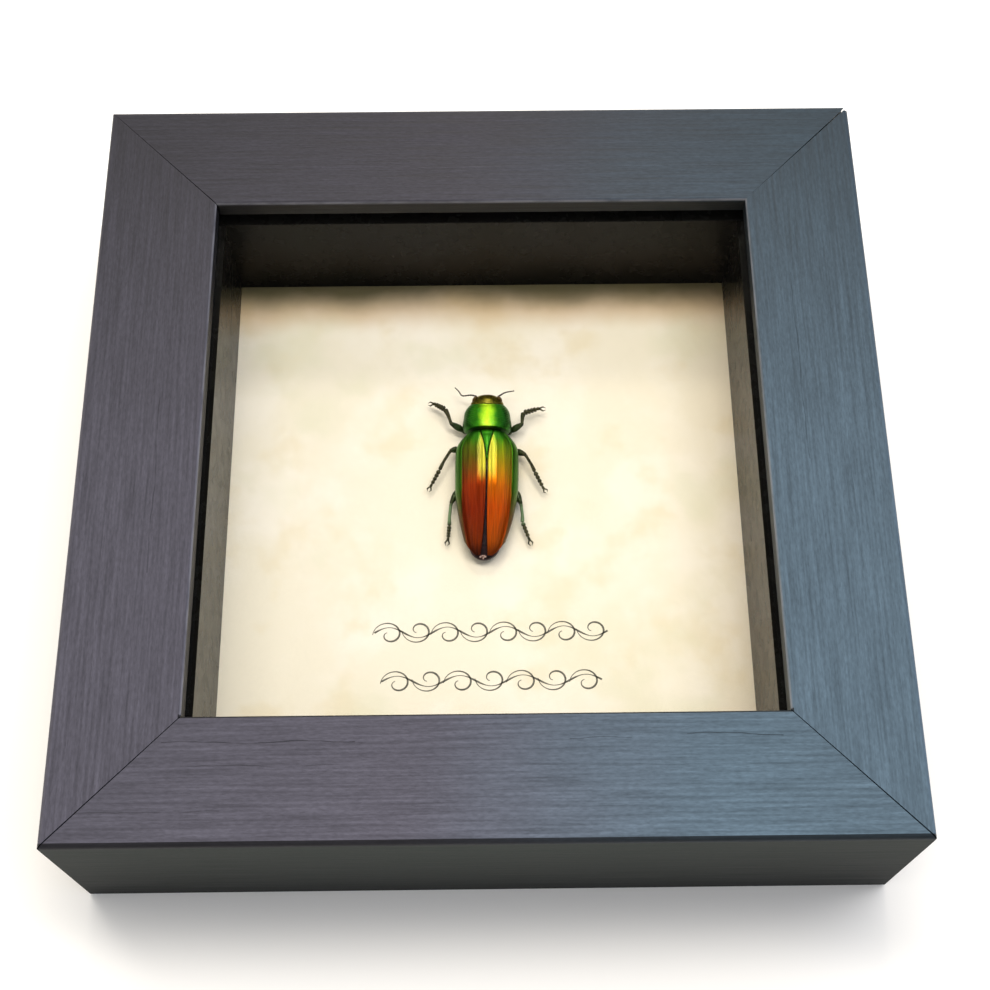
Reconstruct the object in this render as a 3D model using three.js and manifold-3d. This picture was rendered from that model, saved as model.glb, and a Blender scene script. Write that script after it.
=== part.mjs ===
// A jewel beetle in a square shadow-box frame.
// Millimetres, +Z up. The frame lies on its back, as it does on a table: the origin is under the
// middle of its back, +X points to the picture's right, +Y to its top and +Z out of the glass.

import * as THREE from 'three';
import { mergeVertices } from 'three/addons/utils/BufferGeometryUtils.js';
import Module from 'manifold-3d';

const wasm = await Module();
wasm.setup();

// Driving dimensions

const frame = {
  side: 127,             // outside of the square, 5 inches
  depth: 34,             // front to back
  railWidth: 19.05,      // face of a rail, 3/4 inch
  lip: 3.2,              // thickness of the lip that holds the glass
  rabbet: 6.35,          // how far the lip reaches past the rabbet
  outerArris: 0.75,      // rounding of the outer front edge
  innerArris: 0.45,      // rounding of the sight edge
  backArris: 0.4,        // ease along the outer back edge
};
const stack = {          // what lies in the rabbet, from the lip down
  clearance: 0.3,        // around the pane and the boards
  fit: 0.1,              // between one layer and the next
  glass: 1.8,
  spacer: 20.1,
  paper: 0.3,
  board: 3.0,
  panel: 2.4,
};
const spacerReach = 0.8; // how far the spacer's face stands inside the sight edge
const mitre = {          // half of the open joint at each corner, at its outer and inner end
  bottomLeft: { outer: 0.14, inner: 0.09 },
  bottomRight: { outer: 0.15, inner: 0.09 },
  topLeft: { outer: 0.03, inner: 0.1 },
  topRight: { outer: 0.17, inner: 0.0 },
};
const tipWorn = 0.9;     // the right rail's top tip ends this short of the top rail
const tipRounded = 0.7;  // and the top rail's corner is rounded over it

const fixing = {
  tabLength: 8,          // flat points that hold the back in
  tabWidth: 5,
  tabThickness: 0.5,
  tabSpacing: 50,        // between the two on each side
  hangerLength: 45,
  hangerWidth: 9,
  hangerThickness: 0.7,
  hangerArch: 1.1,       // how far the middle stands off the panel
  hangerFromTop: 14,     // its middle line, below the rabbet's top wall
  teeth: 15,
};

const beetle = {
  x: 0.42,               // where the body's middle lies on the paper
  y: 0,
  turn: -0.8,            // degrees; the head leans to the right
  shell: 0.45,           // thickness of a wing case
  seam: 0.2,             // clearance between the hard plates
  bend: 0.0013,          // how the hind end curves to the left
};

// The beetle's own frame: X to its right, Y to its head, Z up from the paper.
// Each list holds [y, value] stations from the tail to the head.

const caseHalfWidth = along([
  [-10.75, 1.7], [-9.2, 2.72], [-7.6, 3.42], [-5.3, 4.2], [-2.6, 4.82], [0.65, 5.3],
  [4.4, 5.42], [8.2, 5.4], [10.1, 5.1], [11.2, 4.55], [11.8, 4.1],
]);
const caseCrest = along([
  [-10.75, 2.7], [-9.2, 3.7], [-7.6, 4.4], [-5.3, 5.15], [-2.6, 5.7], [0.65, 6.0],
  [4.4, 6.15], [8.2, 5.95], [10.1, 5.5], [11.8, 4.75],
]);
const caseMargin = along([[-10.75, 1.75], [-5.3, 2.3], [0.65, 2.6], [8.2, 2.6], [11.8, 2.7]]);
const caseInnerEdge = along([
  [-10.75, 0.86], [-9.8, 0.82], [-8.4, 0.74], [-5.2, 0.34], [-1.7, 0.15], [4.3, 0.08], [6.0, 0.1],
  [7.5, 0.24], [9.0, 0.46], [10.4, 0.78], [11.8, 1.18],
]);
const scutellum = { tip: 6.1, base: 11.5 };

const thorax = {
  halfWidth: along([
    [12.65, 3.85], [13.1, 4.16], [13.8, 4.25], [14.95, 4.1], [16.2, 3.66], [17.1, 3.15],
    [17.85, 2.6],
  ]),
  crest: along([[12.65, 4.95], [13.2, 5.3], [14.5, 5.35], [16.2, 4.95], [17.1, 4.6], [17.85, 4.15]]),
  margin: along([[12.65, 2.5], [17.85, 2.6]]),
  belly: along([[12.65, 0.6], [14, 0.35], [16.5, 0.7], [17.85, 1.3]]),
  rear: 12.65,
  front: 17.85,
  rearDip: 0,            // how far the top of each end lies behind its sides
  frontDip: 0.7,
};
const abdomen = {
  rear: -11.2,
  front: 12.4,
  rearDip: 0,
  frontDip: 0,
  halfWidth: along([
    [-11.2, 1.1], [-10.9, 1.75], [-10.2, 1.9], [-9.2, 1.8], [-7.6, 2.55], [-5.3, 3.5], [-2.6, 4.1],
    [0.65, 4.6], [8.2, 4.7], [10.1, 4.4], [11.4, 3.7], [12.4, 3.3],
  ]),
  crest: along([
    [-11.2, 1.7], [-10.9, 2.05], [-9.2, 2.95], [-7.6, 3.65], [-5.3, 4.4], [-2.6, 4.95],
    [4.4, 5.4], [8.2, 5.2], [10.1, 4.75], [11.4, 4.2], [12.4, 3.9],
  ]),
  margin: along([[-11.2, 1.35], [-5.3, 2.0], [0.65, 2.3], [12.4, 2.4]]),
  belly: along([[-11.2, 1.0], [-9.2, 0.75], [-5.3, 0.35], [0, 0.12], [4.5, 0.08], [9, 0.12], [12.4, 0.7]]),
};
const head = {
  rear: 18.0,
  front: 19.75,
  halfWidth: along([[18.0, 2.5], [18.6, 2.36], [19.15, 1.95], [19.5, 1.4], [19.75, 0.6]]),
  crest: along([[18.0, 4.1], [18.6, 3.9], [19.15, 3.45], [19.5, 3.0], [19.75, 2.6]]),
  margin: along([[18.0, 2.7], [19.75, 2.3]]),
  belly: along([[18.0, 1.4], [19.2, 1.3], [19.75, 1.9]]),
  rearDip: 0.7,
  frontDip: 0,
  eye: { x: 2.0, y: 18.45, z: 2.95, across: 0.58, along: 0.72, high: 0.8 },
};

// Each leg is five places: root, knee, ankle, end of the foot, and the claws' tip.
const legs = {
  front_left: [[-4.1, 13.4, 1.4], [-6.35, 14.5, 2.1], [-7.35, 17.2, 2.1], [-9.3, 18.45, 1.8],
    [-10.4, 18.5, 1.5]],
  front_right: [[4.1, 13.3, 1.4], [6.15, 14.4, 2.1], [6.35, 16.55, 2.1], [9.0, 17.55, 1.8],
    [10.3, 17.6, 1.5]],
  middle_left: [[-4.75, 9.9, 1.3], [-6.3, 9.2, 2.1], [-8.1, 5.7, 1.8], [-9.6, 2.75, 1.4],
    [-10.05, 1.8, 1.2]],
  middle_right: [[4.75, 9.6, 1.3], [6.6, 8.5, 2.1], [8.2, 5.4, 1.8], [9.7, 2.4, 1.4],
    [10.3, 1.7, 1.2]],
  hind_left: [[-4.85, 2.2, 1.2], [-6.05, -0.6, 1.9], [-6.3, -4.6, 1.5], [-6.5, -7.0, 1.2],
    [-6.75, -8.1, 1.0]],
  hind_right: [[4.85, 2.2, 1.2], [5.8, -0.7, 1.9], [6.05, -3.9, 1.5], [7.2, -6.9, 1.1],
    [7.6, -8.0, 0.9]],
};
const legSize = {          // half thicknesses
  root: 0.3,
  femur: 0.5,
  knee: 0.25,
  tibia: 0.23,
  ankle: 0.27,
  foot: 0.22,
  claw: 0.09,
  lobes: 4,              // joints of the foot
};
const antennae = {
  left: [[-1.75, 19.3, 2.9], [-2.85, 19.75, 2.6], [-4.4, 19.7, 2.4], [-4.95, 20.6, 2.3],
    [-5.65, 21.4, 2.2]],
  right: [[1.75, 19.2, 2.9], [2.4, 19.8, 2.6], [3.1, 20.3, 2.5], [4.7, 20.8, 2.2]],
  radius: 0.12,
};

// Places that follow from those

const half = frame.side / 2;
const sight = half - frame.railWidth;
const rabbetWall = sight + frame.rabbet;
const paneHalf = rabbetWall - stack.clearance;
const glassTop = frame.depth - frame.lip - stack.fit;
const spacerTop = glassTop - stack.glass - stack.fit;
const paperTop = spacerTop - stack.spacer - stack.fit;
const boardTop = paperTop - stack.paper - stack.fit;
const panelTop = boardTop - stack.board - stack.fit;
const panelBack = panelTop - stack.panel;

// Materials

function finish(color, roughness, metalness = 0) {
  return new THREE.MeshStandardMaterial({ color, roughness, metalness });
}
const paintedWood = finish('#545a64', 0.6);
const clearGlass = new THREE.MeshStandardMaterial({
  color: '#e8f0ee', roughness: 0.05, metalness: 0, transparent: true, opacity: 0.2,
});
const blackStrip = finish('#2a2722', 0.7);
const parchment = finish('#f4ecd6', 0.9);
const whiteBoard = finish('#ece9e0', 0.9);
const hardboard = finish('#4a3426', 0.8);
const steel = finish('#8d8f92', 0.4, 1);
const caseShell = finish('#a8521a', 0.25, 0.8);
const greenShell = finish('#2e8f1e', 0.25, 0.8);
const copperShell = finish('#7a4a1e', 0.3, 0.7);
const darkShell = finish('#2b1a22', 0.35, 0.5);
const legShell = finish('#22301c', 0.35, 0.5);

// Small tools

function mix(from, to, t) {
  return from + (to - from) * t;
}

// A smooth value along [place, value] stations, level beyond the first and the last.
function along(stations) {
  const last = stations.length - 1;
  const slope = (i) => {
    const before = stations[Math.max(i - 1, 0)];
    const after = stations[Math.min(i + 1, last)];
    return (after[1] - before[1]) / (after[0] - before[0]);
  };
  return (place) => {
    let i = 0;
    while (i < last - 1 && place > stations[i + 1][0]) i += 1;
    const span = stations[i + 1][0] - stations[i][0];
    const t = THREE.MathUtils.clamp((place - stations[i][0]) / span, 0, 1);
    const ease = t * t * (3 - 2 * t);
    const leaving = t * (1 - t) * (1 - t) * slope(i) * span;
    const arriving = t * t * (t - 1) * slope(i + 1) * span;
    return mix(stations[i][1], stations[i + 1][1], ease) + leaving + arriving;
  };
}

function weld(geometry) {
  geometry.deleteAttribute('normal');
  geometry.deleteAttribute('uv');
  return mergeVertices(geometry, 1e-5);
}

function reshape(geometry, place) {
  const position = geometry.attributes.position;
  const point = new THREE.Vector3();
  for (let i = 0; i < position.count; i += 1) {
    point.fromBufferAttribute(position, i);
    place(point);
    position.setXYZ(i, point.x, point.y, point.z);
  }
  return geometry;
}

function toSolid(geometry) {
  const shape = weld(geometry.clone());
  return new wasm.Manifold(new wasm.Mesh({
    numProp: 3,
    vertProperties: new Float32Array(shape.attributes.position.array),
    triVerts: new Uint32Array(shape.index.array),
  }));
}

function toGeometry(solid) {
  const mesh = solid.getMesh();
  const geometry = new THREE.BufferGeometry();
  geometry.setAttribute('position', new THREE.BufferAttribute(mesh.vertProperties, 3));
  geometry.setIndex(new THREE.BufferAttribute(mesh.triVerts, 1));
  return geometry;
}

function join(geometries) {
  return toGeometry(geometries.map(toSolid).reduce((whole, piece) => whole.add(piece)));
}

function box(low, high) {
  const size = high.map((value, axis) => value - low[axis]);
  return new THREE.BoxGeometry(...size)
    .translate(...low.map((value, axis) => value + size[axis] / 2));
}

function addPiece(group, name, geometry, material) {
  const piece = new THREE.Mesh(weld(geometry), material);
  piece.name = name;
  group.add(piece);
  return piece;
}

// Frame rails: an L section with rounded arrises, run along the rail and cut at 45 degrees

function railSection() {
  const { depth, railWidth, lip, rabbet, outerArris, innerArris, backArris } = frame;
  const section = new THREE.Shape();
  section.moveTo(backArris, 0);
  section.lineTo(railWidth - rabbet, 0);
  section.lineTo(railWidth - rabbet, depth - lip);
  section.lineTo(railWidth, depth - lip);
  section.absarc(railWidth - innerArris, depth - innerArris, innerArris, 0, Math.PI / 2);
  section.absarc(outerArris, depth - outerArris, outerArris, Math.PI / 2, Math.PI);
  section.lineTo(0, backArris);
  return section;
}

// How far along its length a rail reaches, at a distance inward from its outer face.
function mitreReach(inward, joint, worn, rounded) {
  const gap = mix(joint.outer, joint.inner, inward / frame.railWidth);
  const edge = Math.max(0, 1 - inward / frame.outerArris);
  return Math.min(half - inward - gap - rounded * edge * edge, half - worn);
}

function railGeometry(leftEnd, rightEnd) {
  const bar = new THREE.ExtrudeGeometry(railSection(), {
    depth: 1, bevelEnabled: false, curveSegments: 4,
  });
  return reshape(bar, (point) => {
    const [inward, height, end] = [point.x, point.y, point.z > 0.5 ? rightEnd : leftEnd];
    const reach = mitreReach(inward, end.joint, end.worn ?? 0, end.rounded ?? 0);
    point.set(point.z > 0.5 ? reach : -reach, inward - half, height);
  });
}

function addRails(group) {
  const { bottomLeft, bottomRight, topLeft, topRight } = mitre;
  const rails = [
    ['rail_bottom', { joint: bottomLeft }, { joint: bottomRight }],
    ['rail_right', { joint: bottomRight }, { joint: topRight, worn: tipWorn }],
    ['rail_top', { joint: topRight, rounded: tipRounded }, { joint: topLeft }],
    ['rail_left', { joint: topLeft }, { joint: bottomLeft }],
  ];
  rails.forEach(([name, leftEnd, rightEnd], turn) => {
    const rail = addPiece(group, name, railGeometry(leftEnd, rightEnd), paintedWood);
    rail.rotation.z = turn * Math.PI / 2;
  });
}

// Everything in the rabbet, and what holds it in

function sheet(top, thickness) {
  return box([-paneHalf, -paneHalf, top - thickness], [paneHalf, paneHalf, top]);
}

function addStack(group) {
  addPiece(group, 'glass_pane', sheet(glassTop, stack.glass), clearGlass);
  addPiece(group, 'parchment_sheet', sheet(paperTop, stack.paper), parchment);
  addPiece(group, 'mount_board', sheet(boardTop, stack.board), whiteBoard);
  addPiece(group, 'back_panel', sheet(panelTop, stack.panel), hardboard);
}

function addSpacers(group) {
  const face = sight - spacerReach;
  const low = spacerTop - stack.spacer;
  const between = face + stack.fit;
  ['bottom', 'right', 'top', 'left'].forEach((side, turn) => {
    const reach = turn % 2 === 0 ? paneHalf : between - stack.fit * 2;
    const strip = addPiece(group, `spacer_${side}`,
      box([-reach, -paneHalf, low], [reach, -face, spacerTop]), blackStrip);
    strip.rotation.z = turn * Math.PI / 2;
  });
}

function tabGeometry() {
  const { tabLength, tabWidth, tabThickness } = fixing;
  const outline = new THREE.Shape();
  outline.moveTo(-tabWidth / 2, 0);
  outline.lineTo(tabWidth / 2, 0);
  outline.lineTo(tabWidth / 2, tabLength * 0.45);
  outline.lineTo(tabWidth / 6, tabLength);
  outline.lineTo(-tabWidth / 6, tabLength);
  outline.lineTo(-tabWidth / 2, tabLength * 0.45);
  return new THREE.ExtrudeGeometry(outline, { depth: tabThickness, bevelEnabled: false });
}

function addPoints(group) {
  const back = panelBack - stack.fit - fixing.tabThickness;
  ['bottom', 'right', 'top', 'left'].forEach((side, turn) => {
    [-1, 1].forEach((hand) => {
      const tab = tabGeometry()
        .translate(hand * fixing.tabSpacing / 2, stack.fit - rabbetWall, back);
      const name = `point_${side}_${hand < 0 ? 'a' : 'b'}`;
      addPiece(group, name, tab, steel).rotation.z = turn * Math.PI / 2;
    });
  });
}

// A toothed strip, arched so that a nail head goes behind its middle.
function hangerGeometry() {
  const { hangerLength, hangerWidth, hangerThickness, hangerArch, teeth } = fixing;
  const pitch = hangerLength / (teeth * 2);
  const strip = new THREE.BoxGeometry(hangerLength, hangerWidth, hangerThickness, teeth * 2);
  return reshape(strip, (point) => {
    const station = Math.round((point.x + hangerLength / 2) / pitch);
    const side = Math.abs(point.x) / (hangerLength / 2);
    const toothed = point.y < 0 && station % 2 === 1 && side < 0.7;
    point.y += toothed ? pitch * 0.8 : 0;
    point.z -= hangerThickness / 2 + hangerArch * (1 - THREE.MathUtils.smoothstep(side, 0.6, 0.85));
  });
}

function addHanger(group) {
  const hanger = addPiece(group, 'hanger', hangerGeometry(), steel);
  hanger.position.set(0, rabbetWall - fixing.hangerFromTop, panelBack - stack.fit);
}

// The beetle's plates

// A closed tube of ringed sections along Y, with flat ends.
function platedBody(shape, sides, rings) {
  const tube = new THREE.CylinderGeometry(1, 1, 1, sides, rings);
  return reshape(tube, (point) => {
    const along01 = point.y + 0.5;
    const y = shape.rear + along01 * (shape.front - shape.rear);
    const margin = shape.margin(y);
    const rise = point.z > 0 ? shape.crest(y) - margin : margin - shape.belly(y);
    const dip = mix(shape.rearDip, shape.frontDip, along01) * Math.max(point.z, 0);
    point.set(bentX(point.x * shape.halfWidth(y), y), y - dip, margin + point.z * rise);
  });
}

function bentX(x, y) {
  const behind = Math.max(0, 5 - y);
  return x - beetle.bend * behind * behind;
}

// Height of the wing cases' dome at a share of the half width, a given depth inside it.
function domeHeight(share, y, inside = 0) {
  const rise = caseCrest(y) - caseMargin(y) - inside;
  return caseMargin(y) + rise * (1 - share ** 2.3) ** (1 / 2.1);
}

function wingCase(hand) {
  const shell = new THREE.BoxGeometry(1, 1, 1, 10, 22, 1);
  return reshape(shell, (point) => {
    const [across, lengthwise, top] = [point.x * hand + 0.5, point.y + 0.5, point.z > 0];
    const base = 11.45 - 0.75 * across ** 5;
    const tip = -10.85 + 0.25 * (1 - across) ** 4 + 0.55 * across ** 3;
    const y = mix(tip, base, lengthwise);
    const inside = top ? 0 : beetle.shell;
    const inner = caseInnerEdge(y) / caseHalfWidth(y);
    const share = mix(inner, 1, Math.sin(across * Math.PI / 2));
    const x = share * (caseHalfWidth(y) - inside);
    point.set(bentX(hand * x, y), y, domeHeight(share, y, inside));
  });
}

function scutellumPlate() {
  const plate = new THREE.BoxGeometry(1, 1, 1, 4, 6, 1);
  return reshape(plate, (point) => {
    const y = mix(scutellum.tip, scutellum.base, point.y + 0.5);
    const x = 2 * point.x * (caseInnerEdge(y) - 0.07);
    const share = Math.abs(x) / caseHalfWidth(y);
    const inside = point.z > 0 ? 0 : beetle.shell;
    point.set(x, y, domeHeight(share, y, inside) + 0.05 * (1 - share));
  });
}

function headGeometry() {
  const { eye } = head;
  const eyes = [-1, 1].map((hand) => new THREE.SphereGeometry(1, 10, 6)
    .scale(eye.across, eye.along, eye.high)
    .translate(hand * eye.x, eye.y, eye.z));
  return join([platedBody(head, 18, 6), ...eyes]);
}

// Limbs

// A closed round tube through the places given, with its radius set along its length.
function taperedTube(places, radiusAt, sides, rings) {
  const points = places.map((place) => new THREE.Vector3(...place));
  const path = new THREE.CatmullRomCurve3(points, false, 'catmullrom', 0.35);
  const { normals, binormals } = path.computeFrenetFrames(rings);
  const tube = new THREE.CylinderGeometry(1, 1, 1, sides, rings);
  return reshape(tube, (point) => {
    const ring = Math.round((point.y + 0.5) * rings);
    const radius = radiusAt(ring / rings);
    const [x, z] = [point.x * radius, point.z * radius];
    point.copy(path.getPointAt(ring / rings))
      .addScaledVector(binormals[ring], x)
      .addScaledVector(normals[ring], z);
  });
}

// Where each place lies along the whole run, from 0 to 1.
function sharesAlong(places) {
  const steps = places.slice(1).map((place, i) => (
    new THREE.Vector3(...place).distanceTo(new THREE.Vector3(...places[i]))));
  const total = steps.reduce((sum, step) => sum + step);
  let reached = 0;
  return [0, ...steps.map((step) => (reached += step) / total)];
}

function legGeometry([root, knee, ankle, footEnd, clawTip]) {
  const [, kneeAt, ankleAt] = sharesAlong([root, knee, ankle, footEnd]);
  const shaft = along([
    [0, legSize.root], [kneeAt * 0.5, legSize.femur], [kneeAt, legSize.knee],
    [mix(kneeAt, ankleAt, 0.15), legSize.tibia], [ankleAt, legSize.ankle],
  ]);
  const radiusAt = (share) => {
    if (share <= ankleAt) return shaft(share);
    const lobe = (share - ankleAt) / (1 - ankleAt) * legSize.lobes % 1;
    return mix(legSize.foot * 0.6, legSize.foot, lobe);
  };
  const run = [clawTip[0] - footEnd[0], clawTip[1] - footEnd[1]];
  const claws = [-1, 1].map((hand) => {
    const spread = (place, share) => [
      place[0] - hand * run[1] * share, place[1] + hand * run[0] * share, place[2],
    ];
    const bow = spread([...mixPlace(footEnd, clawTip, 0.5)], 0.42);
    return taperedTube([mixPlace(ankle, footEnd, 0.97), bow, spread(clawTip, 0.22)],
      (share) => mix(legSize.claw, legSize.claw * 0.5, share), 5, 4);
  });
  return join([taperedTube([root, knee, ankle, footEnd], radiusAt, 6, 34), ...claws]);
}

function mixPlace(from, to, t) {
  return from.map((value, axis) => mix(value, to[axis], t));
}

function antennaGeometry(places) {
  const thinning = (share) => antennae.radius * mix(1, 0.7, share);
  return taperedTube(places, thinning, 5, 14);
}

function addBeetle(group) {
  const body = new THREE.Group();
  body.position.set(beetle.x, beetle.y, paperTop);
  body.rotation.z = THREE.MathUtils.degToRad(beetle.turn);
  group.add(body);

  addPiece(body, 'head', headGeometry(), copperShell);
  addPiece(body, 'prothorax', platedBody(thorax, 26, 8), greenShell);
  addPiece(body, 'scutellum', scutellumPlate(), greenShell);
  addPiece(body, 'wing_case_left', wingCase(-1), caseShell);
  addPiece(body, 'wing_case_right', wingCase(1), caseShell);
  addPiece(body, 'abdomen', platedBody(abdomen, 20, 14), darkShell);

  Object.entries(legs).forEach(([name, places]) => {
    addPiece(body, `leg_${name}`, legGeometry(places), legShell);
  });
  ['left', 'right'].forEach((side) => {
    addPiece(body, `antenna_${side}`, antennaGeometry(antennae[side]), darkShell);
  });
}

const specimen = new THREE.Group();
addRails(specimen);
addStack(specimen);
addSpacers(specimen);
addPoints(specimen);
addHanger(specimen);
addBeetle(specimen);

export default specimen;
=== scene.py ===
import math
from functools import partial

import bmesh
import bpy
from mathutils import Matrix, Vector


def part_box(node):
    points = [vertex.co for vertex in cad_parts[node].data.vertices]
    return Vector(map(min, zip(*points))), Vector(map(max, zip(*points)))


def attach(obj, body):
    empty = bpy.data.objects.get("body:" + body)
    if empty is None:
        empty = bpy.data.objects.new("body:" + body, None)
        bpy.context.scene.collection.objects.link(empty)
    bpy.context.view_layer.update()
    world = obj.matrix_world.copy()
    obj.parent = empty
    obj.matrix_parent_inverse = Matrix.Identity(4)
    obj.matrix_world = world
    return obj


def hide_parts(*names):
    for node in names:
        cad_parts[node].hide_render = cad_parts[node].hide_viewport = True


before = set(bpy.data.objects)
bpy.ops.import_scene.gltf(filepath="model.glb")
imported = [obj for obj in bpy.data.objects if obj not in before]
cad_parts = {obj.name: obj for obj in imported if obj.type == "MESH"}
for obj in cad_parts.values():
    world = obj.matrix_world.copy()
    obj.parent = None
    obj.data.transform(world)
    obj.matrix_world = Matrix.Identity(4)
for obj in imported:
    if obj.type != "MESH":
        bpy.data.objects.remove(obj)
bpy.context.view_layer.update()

# A jewel beetle in a square shadow-box frame that lies on its back. The pieces are modelled in
# millimetres and set to metres as each one is finished.

scene = bpy.context.scene
mm = 0.001
mergeDistance = 0.0005  # in millimetres
eased = {"interpolation_type": "SMOOTHSTEP"}  # for a node that maps a range

# Small tools


def mix(low, high, share):
    return low + (high - low) * share


def smooth(low, high, value):  # 0 below low, 1 above high, and an eased slope between
    share = min(max((value - low) / (high - low), 0.0), 1.0)
    return share * share * (3 - 2 * share)


def bump(value, centre, width):  # a round hump, 1 at its centre
    return math.exp(-((value - centre) / width) ** 2)


# A smooth value along (place, value) stations, level beyond the first and the last.
def along(stations):
    last = len(stations) - 1

    def slope(i):
        before, after = stations[max(i - 1, 0)], stations[min(i + 1, last)]
        return (after[1] - before[1]) / (after[0] - before[0])

    def valueAt(place):
        i = 0
        while i < last - 1 and place > stations[i + 1][0]:
            i += 1
        span = stations[i + 1][0] - stations[i][0]
        t = min(max((place - stations[i][0]) / span, 0.0), 1.0)
        leaving = t * (1 - t) ** 2 * slope(i) * span
        arriving = t * t * (t - 1) * slope(i + 1) * span
        return mix(stations[i][1], stations[i + 1][1], t * t * (3 - 2 * t)) + leaving + arriving

    return valueAt


# A smooth line through places, as a function of the share of its length.
def lineThrough(places):
    reached = [0.0]
    for before, after in zip(places, places[1:]):
        reached.append(reached[-1] + (Vector(after) - Vector(before)).length)
    axes = [along(list(zip(reached, axis))) for axis in zip(*places)]
    return lambda share: Vector([axis(share * reached[-1]) for axis in axes])


def colour(hexText):  # an sRGB hex colour as the linear colour that a socket holds
    channels = [int(hexText[i:i + 2], 16) / 255 for i in (1, 3, 5)]
    linear = [c / 12.92 if c <= 0.04045 else ((c + 0.055) / 1.055) ** 2.4 for c in channels]
    return (*linear, 1.0)


def outputOf(node):  # the first output that its settings leave open
    return next(output for output in node.outputs if output.enabled)


# Adds one node with its settings, colour stops and inputs, which are a list in the order of its
# sockets or a dictionary by their names or numbers. A socket, or a node's output, is linked.
def addNode(tree, kind, inputs=(), stops=(), **settings):
    node = tree.nodes.new("ShaderNode" + kind)
    for name, value in settings.items():
        setattr(node, name, value)
    for name, value in inputs.items() if isinstance(inputs, dict) else enumerate(inputs):
        if isinstance(value, bpy.types.Node):
            value = outputOf(value)
        if isinstance(value, bpy.types.NodeSocket):
            tree.links.new(value, node.inputs[name])
        else:
            node.inputs[name].default_value = value
    if stops:
        elements = node.color_ramp.elements
        while len(elements) < len(stops):
            elements.new(0.5)
        for element, (place, shade) in zip(elements, stops):
            element.position = place
            element.color = colour(shade)
    return node


# A tone made darker and lighter by a value: what it is from and to, and how light it is there.
def shadeTone(add, tone, value, span):
    shade = add("MapRange", [value, *span])
    return add("VectorMath", {0: tone, "Scale": shade}, operation="SCALE")


# Links a tone to the surface shader, and a roughness and a bump of some height where they are
# given. distance is the height of the bump in millimetres.
def finishShader(shader, tone, gloss=None, height=None, strength=0.5, distance=0.03):
    tree = shader.id_data
    tree.links.new(outputOf(tone), shader.inputs["Base Color"])
    if gloss:
        tree.links.new(outputOf(gloss), shader.inputs["Roughness"])
    if height:
        raised = addNode(tree, "Bump", {
            "Strength": strength, "Distance": distance * mm, "Height": height,
        })
        tree.links.new(outputOf(raised), shader.inputs["Normal"])


beetlePlace = {
    "x": 0.42,       # where the body's middle lies on the paper
    "turn": -0.8,    # degrees; the head leans to the right
    "bend": 0.0017,  # how the hind end curves to the left
}
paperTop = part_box("parchment_sheet")[1].z
bodyPlace = (
    Matrix.Translation((beetlePlace["x"] * mm, 0, paperTop))
    @ Matrix.Rotation(math.radians(beetlePlace["turn"]), 4, "Z")
    @ Matrix.Scale(mm, 4)
)


# A material, what adds a node to it, its surface shader and a place in millimetres to draw
# patterns by: the frame's own, or the beetle's, with Y to its head and Z up from the paper.
def startMaterial(name, onBeetle=False, **surface):
    material = bpy.data.materials.new(name)
    material.use_nodes = True
    add = partial(addNode, material.node_tree)
    shader = material.node_tree.nodes["Principled BSDF"]
    for socket, value in surface.items():
        shader.inputs[socket.replace("_", " ")].default_value = value
    place = add("Mapping", {
        "Vector": add("TexCoord").outputs["Object"],
        "Location": (beetlePlace["x"] * mm, 0, paperTop) if onBeetle else (0, 0, 0),
        "Rotation": (0, 0, math.radians(beetlePlace["turn"]) if onBeetle else 0),
        "Scale": (mm, mm, mm),
    }, vector_type="TEXTURE")
    return material, add, shader, place


# Spins a line of points about an axis through the middle, and returns the vertices that this adds.
def spinLine(bm, points, axis, steps):
    before = set(bm.verts)
    line = [bm.verts.new(point) for point in points]
    edges = [bm.edges.new(pair) for pair in zip(line, line[1:])]
    bmesh.ops.spin(bm, geom=line + edges, cent=(0, 0, 0), axis=axis, dvec=(0, 0, 0),
                   angle=math.tau, steps=steps, use_merge=True, use_duplicate=False)
    return [vertex for vertex in bm.verts if vertex not in before]


def turnUp(bm):  # turns a thin sheet over if its faces look down
    bm.normal_update()
    if sum(face.normal.z for face in bm.faces) < 0:
        bmesh.ops.reverse_faces(bm, faces=bm.faces)


def addObject(name, data):
    item = bpy.data.objects.new(name, data)
    scene.collection.objects.link(item)
    return item


def addMesh(name, bm, material):
    mesh = bpy.data.meshes.new(name)
    bm.to_mesh(mesh)
    bm.free()
    mesh.materials.append(material)
    return addObject(name, mesh)


# Gives a finished mesh its place in metres, its material and the body it belongs to, and hides the
# CAD nodes that it replaces. A closed one has its doubled points merged and its faces set outward.
def finishPiece(bm, name, material, replaced=(), place=bodyPlace, closed=True):
    if closed:
        bmesh.ops.remove_doubles(bm, verts=bm.verts, dist=mergeDistance)
        bmesh.ops.recalc_face_normals(bm, faces=bm.faces)
    bm.transform(place)
    for face in bm.faces:
        face.smooth = True
    piece = addMesh(name, bm, material)
    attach(piece, "root")
    if replaced:
        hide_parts(*replaced)
    return piece


def dress(material, *nodes):  # a CAD node keeps its shape and gets its finish
    for node in nodes:
        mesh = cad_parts[node].data
        mesh.materials.clear()
        mesh.materials.append(material)


# Frame

frameSize = {
    "half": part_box("rail_bottom")[1].x / mm,  # outside of the square, from the middle
    "depth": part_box("rail_bottom")[1].z / mm,
    "sight": 44.45,                           # the opening's edge, from the middle
}

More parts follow.
